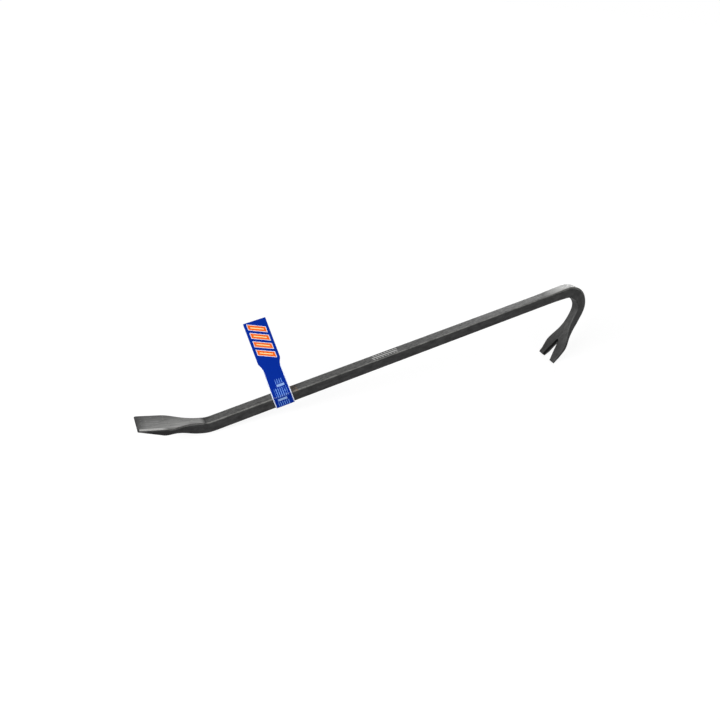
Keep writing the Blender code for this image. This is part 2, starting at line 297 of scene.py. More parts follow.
# Studio: the floor shows whiter from the first distance to the second
ROOM_LIGHT = 0.12
FLOOR_SIZE = 60.0
FLOOR_GLOW = 0.88
FLOOR_SHADE = 0.20
FLOOR_FADE = (0.8, 3.0)

# Softboxes, each by name, place, size and watts, and the point that they face
SOFTBOXES = (
    ("key_softbox", (-2.5, -0.7, 1.2), 1.6, 92.0),
    ("front_softbox", (-0.4, -2.6, 0.9), 1.6, 19.0),
    ("back_softbox", (1.3, 1.3, 0.9), 1.0, 13.0),
    ("crest_softbox", (2.3, 1.9, 0.35), 0.7, 9.0))
SOFTBOX_AIM = Vector((0.0, 0.0, 0.05))

Section = namedtuple("Section", "point tilt width outer inner edge skew shift", defaults=(0.0, 0.0, 0.0))


def ease(distance, start, end, skew=1.0):
    """0 before start, 1 after end, and a smooth step between them, late when skew is over 1."""
    share = min(max((distance - start) / (end - start), 0.0), 1.0) ** skew
    return share * share * (3.0 - 2.0 * share)


def blend(first, second, share):
    return first + (second - first) * share


def steps_between(start, end, step=STATION_STEP):
    count = max(1, round((end - start) / step))
    return [blend(start, end, index / count) for index in range(count + 1)]


def normal_at(tilt):
    return Vector((sin(tilt), 0.0, cos(tilt)))


def travel_at(tilt):
    return Vector((cos(tilt), 0.0, -sin(tilt)))


def centre_of(section):
    middle = section.point + normal_at(section.tilt) * (section.outer - section.inner) / 2.0
    return middle + Vector((0.0, section.shift, 0.0))


def height_of(section):
    return section.outer + section.inner


def shaft_frame():
    """The shaft's frame in the world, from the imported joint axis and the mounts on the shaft."""
    mounts = {mount["name"]: mount for mount in frame["record"]["mounts"]}
    along = Vector(frame["joints"][0]["axis"]).normalized()
    up = Vector(mounts["shaft_top_face"]["axis"]).normalized()
    top = Vector(mounts["shaft_top_face"]["pos_m"])
    under = Vector(mounts["shaft_under_face"]["pos_m"])
    turn = Matrix((along, up.cross(along), up)).transposed().to_4x4()
    return Matrix.Translation((top + under) / 2.0 - along * MOUNTS_AT) @ turn


SHAFT = shaft_frame()


# Drawing a bar or a strip out of one rectangle

def pick(piece):
    """Makes a piece the only one selected, and the active one."""
    bpy.ops.object.select_all(action="DESELECT")
    piece.select_set(True)
    bpy.context.view_layer.objects.active = piece


def turn_selected(angle, axis, centre):
    """Turns the selection about a world axis; with no window, the operator turns the other way."""
    if angle != 0.0:
        bpy.ops.transform.rotate(value=-angle, orient_axis=axis, center_override=centre)


def shape_end(before, after):
    """Turns and resizes the selected end face from one section to the next."""
    centre = centre_of(after)
    turn_selected(after.tilt - before.tilt, "Y", centre)
    if after.skew != before.skew:
        turn_selected(-after.tilt, "Y", centre)
        turn_selected(after.skew - before.skew, "Z", centre)
        turn_selected(after.tilt, "Y", centre)
    sizes = (1.0, after.width / before.width, height_of(after) / height_of(before))
    axes = Matrix.Rotation(after.tilt, 3, "Y") @ Matrix.Rotation(after.skew, 3, "Z")
    bpy.ops.transform.resize(value=sizes, orient_type="GLOBAL", orient_matrix=axes,
                             orient_matrix_type="GLOBAL", center_override=centre)


def draw_out(name, sections, rows):
    """One solid, extruded from section to section; rows are its faces across and through."""
    bpy.ops.object.select_all(action="DESELECT")
    first = sections[0]
    bpy.ops.mesh.primitive_grid_add(x_subdivisions=rows[1], y_subdivisions=rows[0], size=1.0,
                                    location=centre_of(first), rotation=(0.0, pi / 2.0 + first.tilt, 0.0))
    piece = bpy.context.object
    piece.name = name
    bpy.ops.object.transform_apply(location=True, rotation=True, scale=True)
    bpy.ops.object.mode_set(mode="EDIT")
    bpy.ops.mesh.select_all(action="SELECT")
    middle = centre_of(first) - Vector((0.0, first.shift, 0.0))
    unit_square = first._replace(width=1.0, outer=0.5, inner=0.5, skew=0.0, point=middle)
    shape_end(unit_square, first)
    for before, after in zip(sections, sections[1:]):
        bpy.ops.mesh.extrude_region_move(
            TRANSFORM_OT_translate={"value": centre_of(after) - centre_of(before)})
        shape_end(before, after)
    bpy.ops.mesh.select_all(action="SELECT")
    bpy.ops.mesh.normals_make_consistent(inside=False)
    bpy.ops.object.mode_set(mode="OBJECT")
    return piece


def apply_modifier(piece, kind, **settings):
    modifier = piece.modifiers.new(kind.lower(), kind)
    for setting, value in settings.items():
        setattr(modifier, setting, value)
    bpy.context.view_layer.objects.active = piece
    bpy.ops.object.modifier_apply(modifier=modifier.name)


def read_points(piece):
    points = np.zeros(len(piece.data.vertices) * 3)
    piece.data.vertices.foreach_get("co", points)
    return points.reshape(-1, 3)


def write_attribute(piece, name, kind, domain, values):
    attribute = piece.data.attributes.new(name, kind, domain)
    attribute.data.foreach_set("vector" if kind == "FLOAT_VECTOR" else "value",
                               np.ascontiguousarray(values, dtype=np.float32).ravel())


def put_in_place(piece, place):
    """Moves a finished piece into the world, with its object left at the origin."""
    pick(piece)
    piece.matrix_world = place
    bpy.ops.object.transform_apply(location=True, rotation=True, scale=True)


# Sections of the bar, by place along its spine: below 0 on the chisel, then along the shaft

def chisel_bend_half():
    return CHISEL_BEND_RADIUS * tan(CHISEL_LIFT / 2.0)


def hook_end():
    return SHAFT_LENGTH + HOOK_RADIUS * HOOK_TURN


def claw_tip():
    return hook_end() + ARM_LENGTH


def chisel_section(place):
    distance = -place
    stock = STOCK - SCALE_LOSS
    heel = CHISEL_LENGTH - BLADE_LENGTH
    tilt = CHISEL_LIFT
    width = blend(stock, CHISEL_WIDTH, ease(distance, CHISEL_FLARE_START, heel, CHISEL_FLARE_LATENESS))
    thick = blend(stock, CHISEL_THICKNESS, ease(distance, CHISEL_THIN_START, CHISEL_THIN_END))
    edge = blend(STOCK_EDGE, CHISEL_EDGE, ease(distance, 0.0, heel))
    shift = 0.0
    if distance > heel:
        blade = (distance - heel) / BLADE_LENGTH
        width = blend(CHISEL_WIDTH, CHISEL_TIP_WIDTH, blade)
        thick = blend(CHISEL_THICKNESS, BLADE_TIP_THICKNESS, blade)
        far = corner_inset(CHISEL_LENGTH - distance, FAR_TIP_CORNER)
        near = corner_inset(CHISEL_LENGTH - distance, NEAR_TIP_CORNER)
        width -= far + near
        shift = (near - far) / 2.0
    point = -distance * travel_at(tilt)
    return Section(point, tilt, width, stock / 2.0, thick - stock / 2.0, edge, 0.0, shift)


def corner_inset(distance, radius):
    """How far a rounded corner pulls a side in, at a distance from the end."""
    if distance >= radius:
        return 0.0
    return radius - sqrt(radius * radius - (radius - distance) ** 2)


def chisel_bend_section(place):
    half = chisel_bend_half()
    tilt = CHISEL_LIFT * (half - place) / (2.0 * half)
    centre = Vector((half, 0.0, CHISEL_BEND_RADIUS))
    stock = STOCK - SCALE_LOSS
    point = centre - CHISEL_BEND_RADIUS * normal_at(tilt)
    return Section(point, tilt, stock, stock / 2.0, stock / 2.0, STOCK_EDGE)


def hook_swells(place):
    """Outer and inner swell, full at the middle of the hook's first quarter turn."""
    quarter = HOOK_RADIUS * pi / 2.0
    outer = ease(place, SHAFT_LENGTH - HOOK_OUTER_LEAD, SHAFT_LENGTH)
    inner = ease(place, SHAFT_LENGTH - HOOK_LEAD, SHAFT_LENGTH + quarter / 2.0)
    fall = ease(place, SHAFT_LENGTH + quarter / 2.0, SHAFT_LENGTH + quarter)
    return HOOK_OUTER_SWELL * (outer - fall), HOOK_INNER_SWELL * (inner - fall)


def shaft_section(place):
    outer_swell, inner_swell = hook_swells(place)
    outer = STOCK / 2.0 + outer_swell
    inner = STOCK / 2.0 + inner_swell
    return Section(Vector((place, 0.0, 0.0)), 0.0, STOCK, outer, inner, STOCK_EDGE)


def hook_point(tilt):
    return Vector((SHAFT_LENGTH, 0.0, -HOOK_RADIUS)) + HOOK_RADIUS * normal_at(tilt)


def hook_section(place):
    tilt = (place - SHAFT_LENGTH) / HOOK_RADIUS
    drawn = ease(tilt, HOOK_DRAWN_FROM, HOOK_TURN)
    past_quarter = ease(tilt, pi / 2.0, HOOK_TURN)
    outer_swell, inner_swell = hook_swells(place)
    outer = blend(STOCK / 2.0, ARM_OUTER, past_quarter) + outer_swell
    inner = blend(STOCK / 2.0, ARM_INNER, past_quarter) + inner_swell
    width = blend(STOCK, ARM_WIDTH, drawn)
    return Section(hook_point(tilt), tilt, width, outer, inner, blend(STOCK_EDGE, ARM_EDGE, drawn))


def arm_spine(distance):
    """Point and tilt along the arm: straight, a slight curl, and straight again."""
    curled = min(max(distance - CLAW_CURL_START, 0.0), CLAW_CURL_LENGTH)
    past_curl = max(distance - CLAW_CURL_START - CLAW_CURL_LENGTH, 0.0)
    tilt = HOOK_TURN + CLAW_CURL * curled / CLAW_CURL_LENGTH
    straight = min(distance, CLAW_CURL_START) * travel_at(HOOK_TURN)
    curl = CLAW_CURL_LENGTH / CLAW_CURL * (normal_at(tilt) - normal_at(HOOK_TURN))
    return hook_point(HOOK_TURN) + straight + curl + past_curl * travel_at(tilt), tilt


def arm_section(place):
    distance = place - hook_end()
    point, tilt = arm_spine(distance)
    flare = ease(distance, CLAW_FLARE_START, CLAW_FLARE_END, CLAW_FLARE_LATENESS)
    width = blend(ARM_WIDTH, CLAW_WIDTH, flare)
    if distance > CLAW_FLARE_END:
        taper = (distance - CLAW_FLARE_END) / (ARM_LENGTH - CLAW_FLARE_END)
        width = blend(CLAW_WIDTH, CLAW_TIP_WIDTH, taper)
    thick = ARM_INNER + ARM_OUTER
    thick = blend(thick, CLAW_THICKNESS, ease(distance, CLAW_THIN_START, CLAW_THIN_END))
    thick = blend(thick, CLAW_TIP_THICKNESS, ease(distance, ARM_LENGTH - CLAW_TIP_LENGTH, ARM_LENGTH))
    skew = CLAW_OUT_OF_SQUARE * ease(distance, CLAW_SQUARE_END, ARM_LENGTH)
    return Section(point, tilt, width / cos(skew), thick - ARM_INNER, ARM_INNER, ARM_EDGE, skew)


def bar_section(place):
    half = chisel_bend_half()
    if place <= -half:
        return chisel_section(place)
    if place < half:
        return chisel_bend_section(place)
    if place <= SHAFT_LENGTH:
        return shaft_section(place)
    if place <= hook_end():
        return hook_section(place)
    return arm_section(place)


def bar_stations():
    half = chisel_bend_half()
    heel = BLADE_LENGTH - CHISEL_LENGTH
    stations = [tip - CHISEL_LENGTH for tip in TIP_STATIONS]
    stations += steps_between(stations[-1], heel)[1:]
    stations += steps_between(heel, -half)[1:]
    stations += steps_between(-half, half)[1:]
    stations += steps_between(SHAFT_LENGTH - HOOK_OUTER_LEAD, SHAFT_LENGTH)
    stations += steps_between(SHAFT_LENGTH, hook_end())[1:]
    stations += steps_between(hook_end(), claw_tip())[1:]
    return stations


# The bar

def spine_samples():
    count = round((claw_tip() + CHISEL_LENGTH) / SPINE_STEP)
    return np.linspace(-CHISEL_LENGTH, claw_tip(), count + 1)


def places_on_bar(points):
    """For each point: place along the spine, across, out of the spine, and gap to a long edge."""
    samples = spine_samples()
    sections = [bar_section(float(sample)) for sample in samples]
    spine = np.array([section.point for section in sections])
    travel = np.array([travel_at(section.tilt) for section in sections])
    normal = np.array([normal_at(section.tilt) for section in sections])
    sizes = np.array([(s.width / 2.0, s.outer, s.inner, s.edge, s.shift) for s in sections])
    flat = points[:, [0, 2]]
    nearest = np.zeros(len(points), dtype=int)
    for start in range(0, len(points), POINTS_AT_ONCE):
        part = flat[start:start + POINTS_AT_ONCE]
        gaps = ((part[:, None, :] - spine[None, :, [0, 2]]) ** 2).sum(axis=2)
        nearest[start:start + POINTS_AT_ONCE] = gaps.argmin(axis=1)
    away = points - spine[nearest]
    along = samples[nearest] + (away * travel[nearest]).sum(axis=1)
    out = (away * normal[nearest]).sum(axis=1)
    across = points[:, 1]
    half, outer, inner, edge, shift = sizes[nearest].T
    gap = np.maximum(half - np.abs(across - shift), np.minimum(outer - out, out + inner))
    return np.column_stack((along, across, out)), gap, edge


def row_height(section):
    return height_of(section) / BAR_ROWS[1]


def weigh_long_edges(bar):
    """Bevel weights for the bar's four long edges, each as wide as its section's rounding."""
    places, gap, edge = places_on_bar(read_points(bar))
    limits = np.array([EDGE_ROW_SHARE * row_height(bar_section(float(place)))
                       for place in np.clip(places[:, 0], -CHISEL_LENGTH, claw_tip())])
    radius = np.minimum(edge, limits) / CHISEL_EDGE
    ends = np.array([tuple(line.vertices) for line in bar.data.edges])
    on_corner = (gap[ends] < STOCK_EDGE / 4.0).all(axis=1)
    lengthwise = np.abs(places[ends[:, 0], 0] - places[ends[:, 1], 0]) > TIP_STATIONS[1] / 2.0
    across_same = np.abs(places[ends[:, 0], 1] - places[ends[:, 1], 1]) < STATION_STEP
    weights = np.where(on_corner & lengthwise & across_same, radius[ends].mean(axis=1), 0.0)
    write_attribute(bar, "bevel_weight_edge", "FLOAT", "EDGE", weights)


def open_with_selected(piece, kind, wanted):
    """Enters edit mode with only the wanted vertices, edges or faces selected."""
    if bpy.context.mode != "OBJECT":
        bpy.ops.object.mode_set(mode="OBJECT")
    pick(piece)
    bpy.ops.object.mode_set(mode="EDIT")
    bpy.ops.mesh.select_mode(type=kind)
    bpy.ops.mesh.select_all(action="DESELECT")
    bpy.ops.object.mode_set(mode="OBJECT")
    mesh = piece.data
    for part in {"VERT": mesh.vertices, "EDGE": mesh.edges, "FACE": mesh.polygons}[kind]:
        part.select = bool(wanted(part))
    bpy.ops.object.mode_set(mode="EDIT")


def cut_long_shaft(bar):
    """Divides the shaft's one long stretch into short ones."""
    points = read_points(bar)

    def is_long(edge):
        start, end = (points[vertex][0] for vertex in edge.vertices)
        return abs(start - end) > SHAFT_LENGTH / 2.0
    open_with_selected(bar, "EDGE", is_long)
    bpy.ops.mesh.subdivide(number_cuts=SHAFT_CUTS)
    bpy.ops.object.mode_set(mode="OBJECT")


def crease_ends(bar):
    """Keeps the blade's tip and the claw's end square when the surface is subdivided."""
    bpy.ops.object.mode_set(mode="EDIT")
    bpy.ops.mesh.select_mode(type="EDGE")
    bpy.ops.mesh.select_all(action="DESELECT")
    bpy.ops.mesh.edges_select_sharp(sharpness=SQUARE_ANGLE)
    bpy.ops.transform.edge_crease(value=1.0)
    bpy.ops.object.mode_set(mode="OBJECT")


def make_slot_cutter():
    """The tapered wedge that the nail slot is cut with: two loops, round at the root, bridged.

    The second circle is added in edit mode, so it joins the first one's mesh.
    """
    tip, _ = arm_spine(ARM_LENGTH)
    _, tilt = arm_spine(ARM_LENGTH - SLOT_DEPTH / 2.0)
    back = -travel_at(tilt)
    normal = normal_at(tilt)
    turn = Matrix.Rotation(tilt, 3, "Y")
    bpy.ops.object.select_all(action="DESELECT")
    for share in SLOT_SHARES:
        radius = SLOT_ROOT / 2.0 + share * SLOT_ROOT_WIDENING
        depth = SLOT_DEPTH + share * SLOT_ROOT_LEAN
        slope = (SLOT_MOUTH / 2.0 + share * SLOT_WALL_LEAN - radius) / depth
        reach = depth - radius + SLOT_DEPTH / 2.0
        height = CLAW_THICKNESS - ARM_INNER - share * CLAW_THICKNESS
        centre = tip + back * (depth - radius) + normal * height
        bpy.ops.mesh.primitive_circle_add(vertices=SLOT_CORNERS, radius=radius, location=centre,
                                          rotation=turn.to_euler())
        if bpy.context.mode == "OBJECT":
            cutter = bpy.context.object
            cutter.name = "nail_slot_cutter"
            bpy.ops.object.transform_apply(location=True, rotation=True, scale=True)

        def in_front(vertex):
            away = vertex.co - centre
            return abs(away.dot(normal)) < radius / 10.0 and away.dot(back) < -radius / 10.0
        open_with_selected(cutter, "VERT", in_front)
        bpy.ops.transform.resize(value=(0.0, 1.0 + slope * reach / radius, 1.0), orient_type="GLOBAL",
                                 orient_matrix=turn, orient_matrix_type="GLOBAL", center_override=centre)
        bpy.ops.transform.translate(value=-back * reach)
    bpy.ops.mesh.select_all(action="SELECT")
    bpy.ops.mesh.bridge_edge_loops()
    bpy.ops.mesh.select_all(action="SELECT")
    bpy.ops.mesh.fill_holes(sides=0)
    bpy.ops.mesh.normals_make_consistent(inside=False)
    bpy.ops.object.mode_set(mode="OBJECT")
    return cutter


def cut_nail_slot(bar):
    """Cuts the slot; its walls take the painted-shade finish that the cutter's faces carry."""
    cutter = make_slot_cutter()
    for finish in bar.data.materials:
        cutter.data.materials.append(finish)
    for face in cutter.data.polygons:
        face.material_index = SLOT_SHADE_FINISH
    apply_modifier(bar, "BOOLEAN", operation="DIFFERENCE", object=cutter)
    bpy.data.objects.remove(cutter)


def blade_corner(distance, across, depth):
    """A point of the blade by distance from the bend, across, and depth under its top face."""
    section = chisel_section(-distance)
    return section.point + normal_at(section.tilt) * (section.outer - depth) + Vector((0.0, across, 0.0))


def shave_blade(bar, heel_point, tip_point, third_point):
    """Takes off what lies outside a plane through three points of the blade.

    The cut has sharp borders, and its faces are returned by number.
    """
    along = (tip_point - heel_point).normalized()
    facing = along.cross(third_point - heel_point).normalized()
    if facing.y > 0.0:
        facing.negate()
    turn = Matrix((along, facing.cross(along), facing)).transposed()
    centre = heel_point + (along * SHAVING_OFFSET + facing * SHAVING_BLOCK / 2.0)
    bpy.ops.object.select_all(action="DESELECT")
    bpy.ops.mesh.primitive_cube_add(size=SHAVING_BLOCK, location=centre, rotation=turn.to_euler())
    block = bpy.context.object
    apply_modifier(bar, "BOOLEAN", operation="DIFFERENCE", object=block, solver="FAST")
    bpy.data.objects.remove(block)

    def on_cut(face):
        off_plane = abs((face.center - heel_point).dot(facing))
        return face.normal.dot(facing) > CUT_FACING and off_plane < CUT_NEARNESS
    open_with_selected(bar, "FACE", on_cut)
    bpy.ops.mesh.region_to_loop()
    bpy.ops.mesh.mark_sharp()
    bpy.ops.object.mode_set(mode="OBJECT")
    return [face.index for face in bar.data.polygons if on_cut(face)]


def shape_blade_side(bar):
    """Leans the blade's near side in towards its top, then grinds a bright strip along the edge."""
    heel = CHISEL_LENGTH - BLADE_LENGTH
    side_heel = SIDE_SHAVED - CHISEL_WIDTH / 2.0
    side_tip = SIDE_SHAVED - CHISEL_TIP_WIDTH / 2.0
    bottom_heel = blade_corner(heel, side_heel, CHISEL_THICKNESS)
    bottom_tip = blade_corner(CHISEL_LENGTH, side_tip, BLADE_TIP_THICKNESS)
    shave_blade(bar, bottom_heel, bottom_tip, blade_corner(heel, side_heel + SIDE_DRAFT, 0.0))
    top_edge = side_heel + SIDE_DRAFT
    inside_heel = blade_corner(heel, top_edge + GROUND_WIDTH, 0.0)
    inside_tip = blade_corner(CHISEL_LENGTH, top_edge + GROUND_WIDTH, 0.0)
    for index in shave_blade(bar, inside_heel, inside_tip, blade_corner(heel, top_edge, GROUND_DEPTH)):
        bar.data.polygons[index].material_index = GROUND_FINISH


def dent(bar):
    """Shallow unevenness from the hammer and the scale, cut inwards only."""
    clouds = bpy.data.textures.new("hammer_marks", "CLOUDS")
    clouds.noise_scale = DENT_SIZE
    clouds.noise_depth = DENT_LEVELS
    apply_modifier(bar, "DISPLACE", texture=clouds, strength=DENT_DEPTH, mid_level=1.0,
                   texture_coords="LOCAL")


def shade(piece, angle):
    pick(piece)
    bpy.ops.object.shade_smooth_by_angle(angle=angle)


def make_bar(*finishes):
    bar = draw_out("forged_steel_bar", [bar_section(place) for place in bar_stations()], BAR_ROWS)
    for finish in finishes:
        bar.data.materials.append(finish)
    weigh_long_edges(bar)
    apply_modifier(bar, "BEVEL", limit_method="WEIGHT", width=CHISEL_EDGE, segments=EDGE_SEGMENTS,
                   use_clamp_overlap=False)
    cut_long_shaft(bar)
    crease_ends(bar)
    apply_modifier(bar, "SUBSURF", levels=1, render_levels=1)
    cut_nail_slot(bar)
    shape_blade_side(bar)
    dent(bar)
    shade(bar, BAR_SMOOTH_ANGLE)
    places, gap, _ = places_on_bar(read_points(bar))
    write_attribute(bar, "bar_place", "FLOAT_VECTOR", "POINT", places)
    write_attribute(bar, "edge_gap", "FLOAT", "POINT", gap)
    put_in_place(bar, SHAFT)
    return bar


# The card sleeve, drawn in its own XZ plane, which is then turned across the shaft

def sleeve_reach():
    return STOCK / 2.0 + SLEEVE_CLEARANCE


def leaf_up():
    return Vector((sin(LEAF_LEAN), 0.0, cos(LEAF_LEAN)))


def leaf_back():
    return Vector((cos(LEAF_LEAN), 0.0, -sin(LEAF_LEAN)))


def tilt_of(travel):
    return atan2(-travel.z, travel.x)


def card_section(point, tilt, width, shift=0.0):
    """The card lies outside the point, on the side away from the shaft."""
    return Section(point, tilt, width, 0.0, CARD, 0.0, 0.0, shift)


def fold_sections(corner, before, after, width, shift):
    """Sections round one fold; the card's inner surface passes the corner."""
    start_tilt = tilt_of(before)
    turn = (tilt_of(after) - start_tilt + pi) % (2.0 * pi) - pi
    radius = FOLD_RADIUS if turn < 0.0 else FOLD_RADIUS + CARD
    side = 1.0 if turn < 0.0 else -1.0
    start = corner - before * radius * tan(abs(turn) / 2.0)
    centre = start + side * radius * normal_at(start_tilt)
    sections = []
    for step in range(FOLD_STEPS + 1):
        tilt = start_tilt + turn * step / FOLD_STEPS
        sections.append(card_section(centre - side * radius * normal_at(tilt), tilt, width, shift))
    return sections


def leaf_width(height):
    """Width of a leaf by height above the shaft, on the neck, the shoulder and the head."""
    if height <= NECK_LENGTH:
        return blend(NECK_WIDTH, NECK_TOP_WIDTH, height / NECK_LENGTH)
    share = min((height - NECK_LENGTH) / SHOULDER_LENGTH, 1.0)
    softened = (share + ease(share, 0.0, 1.0)) / 2.0
    return blend(NECK_TOP_WIDTH, HEAD_WIDTH, softened)


def leaf_heights():
    shoulder = NECK_LENGTH + SHOULDER_LENGTH
    return (steps_between(0.0, NECK_LENGTH, NECK_LENGTH / LEAF_STEPS)[1:]
            + steps_between(NECK_LENGTH, shoulder, SHOULDER_LENGTH / LEAF_STEPS)[1:]
            + steps_between(shoulder, shoulder + HEAD_LENGTH, HEAD_LENGTH / LEAF_STEPS)[1:])


def sleeve_sections():
    """From the top of the front leaf, round the shaft, to the top of the back leaf."""
    reach = sleeve_reach()
    front_top = Vector((-reach, 0.0, reach))
    back_root = front_top + leaf_back() * LEAVES_APART
    meet = back_root + leaf_up() * LEAVES_MEET
    corners = [front_top, Vector((-reach, 0.0, -reach)), Vector((reach, 0.0, -reach)),
               Vector((reach, 0.0, reach)), meet]
    widths = [NECK_WIDTH, NECK_WIDTH, STRAP_WIDTH, STRAP_WIDTH, STRAP_WIDTH]
    shifts = [0.0, -SLEEVE_SKEW, -SLEEVE_SKEW, 0.0, 0.0]
    ends = [front_top + leaf_up()] + corners + [meet + leaf_up()]
    down = tilt_of(-leaf_up())
    sections = [card_section(front_top + leaf_up() * height, down, leaf_width(height))
                for height in reversed(leaf_heights())]
    for index, corner in enumerate(corners):
        before = (corner - ends[index]).normalized()
        after = (ends[index + 2] - corner).normalized()
        sections += fold_sections(corner, before, after, widths[index], shifts[index])
    up = tilt_of(leaf_up())
    for height in leaf_heights():
        if height > LEAVES_MEET + NECK_LENGTH / LEAF_STEPS:
            widened = (height - LEAVES_MEET) / (NECK_LENGTH - LEAVES_MEET)
            strap = blend(STRAP_WIDTH, NECK_TOP_WIDTH, widened)
            width = strap if height <= NECK_LENGTH else leaf_width(height)
            sections.append(card_section(back_root + leaf_up() * height, up, width))
    return sections


def make_sleeve():
    sections = sleeve_sections()
    sleeve = draw_out("folded_card_sleeve", sections, CARD_ROWS)
    lengths = [0.0]
    for before, after in zip(sections, sections[1:]):
        lengths.append(lengths[-1] + (after.point - before.point).length)
    foot = NECK_LENGTH + SHOULDER_LENGTH + HEAD_LENGTH
    per_ring = (CARD_ROWS[0] + 1) * (CARD_ROWS[1] + 1)
    points = read_points(sleeve)
    places = np.zeros_like(points)
    rims = np.zeros(len(points))
    for index, point in enumerate(points):
        section = sections[index // per_ring]
        out = (Vector(point) - section.point).dot(normal_at(section.tilt))
        across = point[1] - section.shift
        places[index] = (foot - lengths[index // per_ring], -across, out)
        rims[index] = section.width / 2.0 - abs(across)
    write_attribute(sleeve, "sheet_place", "FLOAT_VECTOR", "POINT", places)
    write_attribute(sleeve, "rim_gap", "FLOAT", "POINT", rims)
    shade(sleeve, CARD_SMOOTH_ANGLE)
    across_shaft = Matrix.Rotation(pi / 2.0, 4, "Z")
    put_in_place(sleeve, SHAFT @ Matrix.Translation((SLEEVE_PLACE, 0.0, 0.0)) @ across_shaft)
    return sleeve


# Materials

def linear(hex_colour):
    """Linear colour for an sRGB hex value."""
    parts = [int(hex_colour[start:start + 2], 16) / 255.0 for start in (1, 3, 5)]
    return (*[part / 12.92 if part <= 0.04045 else ((part + 0.055) / 1.055) ** 2.4 for part in parts], 1.0)


def middle_and_half(low, high):
    return (low + high) / 2.0, (high - low) / 2.0


def add(tree, kind, inputs=(), **settings):
    """Adds a node. Its inputs are numbers, colours, sockets or nodes, in order or by name or number."""
    node = tree.nodes.new(kind)
    for setting, value in settings.items():
        setattr(node, setting, value)
    for key, value in (inputs if isinstance(inputs, dict) else dict(enumerate(inputs))).items():
        if isinstance(value, bpy.types.Node):
            value = next(socket for socket in value.outputs if socket.enabled)
        if isinstance(value, bpy.types.NodeSocket):
            tree.links.new(value, node.inputs[key])
        else:
            node.inputs[key].default_value = value
    return node


def new_material(name):
    material = bpy.data.materials.new(name)
    material.use_nodes = True
    return material, partial(add, material.node_tree), material.node_tree.nodes["Principled BSDF"]


def lay_coats(node, ground, coats):
    """Lays coats of colour over the ground, each where all of its masks let it show."""
    colour = linear(ground)
    for tone, *masks in coats:
        amount = masks[0]
        for mask in masks[1:]:
            amount = node("ShaderNodeMath", (amount, mask), operation="MULTIPLY")
        colour = node("ShaderNodeMix", {0: amount, 6: colour, 7: linear(tone)}, data_type="RGBA")
    return colour


def finish_surface(material, shader, colour, bump, roughness=None):
    tree = material.node_tree
    tree.links.new(colour.outputs[2], shader.inputs["Base Color"])
    tree.links.new(bump.outputs[0], shader.inputs["Normal"])
    if roughness is not None:
        tree.links.new(roughness.outputs[0], shader.inputs["Roughness"])


